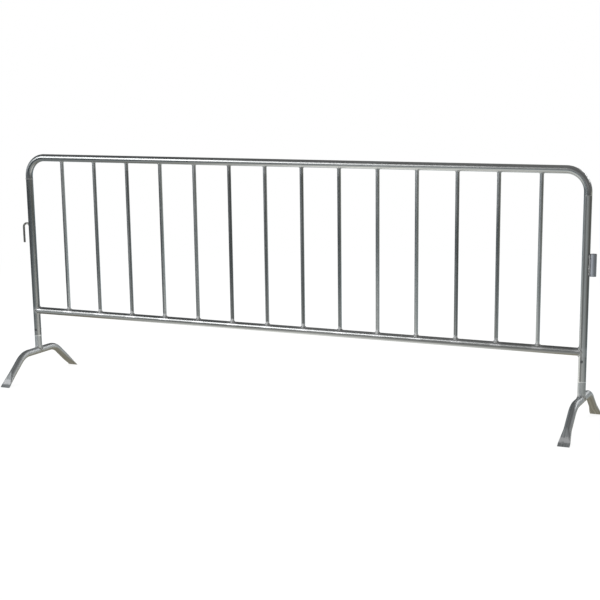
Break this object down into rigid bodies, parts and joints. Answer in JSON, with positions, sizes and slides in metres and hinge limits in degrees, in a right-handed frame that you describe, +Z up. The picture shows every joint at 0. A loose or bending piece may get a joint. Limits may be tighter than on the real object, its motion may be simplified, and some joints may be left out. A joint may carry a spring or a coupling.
{
  "type": "crowd control barrier",
  "caption": "Free-standing barrier of welded galvanised tube with upright pickets, a hook and a sleeve to link neighbours, and bent tube feet that turn and pull off.",
  "frame": {"origin": "on the ground, at the middle of the overall length and width", "axes": "+X along the barrier from the hook to the sleeve, +Y across it to the back, +Z up"},
  "size_m": [2.6514, 0.538, 1.027],
  "materials": {
    "frame_steel": "drawn galvanised tube, semi-gloss with lengthwise streaks",
    "foot_zinc": "lighter, duller zinc",
    "ring_zinc": "bright zinc",
    "sleeve_zinc": "dull hot-dip zinc",
    "bolt_steel": "dark plated steel"
  },
  "bodies": {
    "frame": {"top_rail": "frame_steel", "left_post": "frame_steel", "right_post": "frame_steel", "bottom_rail": "frame_steel", "picket_01": "frame_steel", "picket_02": "frame_steel", "picket_03": "frame_steel", "picket_04": "frame_steel", "picket_05": "frame_steel", "picket_06": "frame_steel", "picket_07": "frame_steel", "picket_08": "frame_steel", "picket_09": "frame_steel", "picket_10": "frame_steel", "picket_11": "frame_steel", "picket_12": "frame_steel", "picket_13": "frame_steel", "picket_14": "frame_steel", "hook": "frame_steel", "sleeve": "sleeve_zinc", "left_spigot": "foot_zinc", "right_spigot": "foot_zinc", "left_lock_bolt": "bolt_steel", "right_lock_bolt": "bolt_steel", "left_lock_nut": "bolt_steel", "right_lock_nut": "bolt_steel"},
    "left_carrier": {"left_ring": "ring_zinc"},
    "left_foot": {"left_riser": "foot_zinc", "left_bridge": "foot_zinc"},
    "right_carrier": {"right_ring": "ring_zinc"},
    "right_foot": {"right_riser": "foot_zinc", "right_bridge": "foot_zinc"}
  },
  "joints": [
    {"name": "left_foot_pull", "type": "slide", "parent": "frame", "child": "left_carrier", "axis": [0, 0, -1], "range_m": [0, 0.058]},
    {"name": "left_foot_turn", "type": "hinge", "parent": "left_carrier", "child": "left_foot", "pos_m": [-1.27499, 0, 0.195], "axis": [0, 0, 1], "continuous": true},
    {"name": "right_foot_pull", "type": "slide", "parent": "frame", "child": "right_carrier", "axis": [0, 0, -1], "range_m": [0, 0.058]},
    {"name": "right_foot_turn", "type": "hinge", "parent": "right_carrier", "child": "right_foot", "pos_m": [1.28426, 0, 0.195], "axis": [0, 0, 1], "continuous": true}
  ]
}
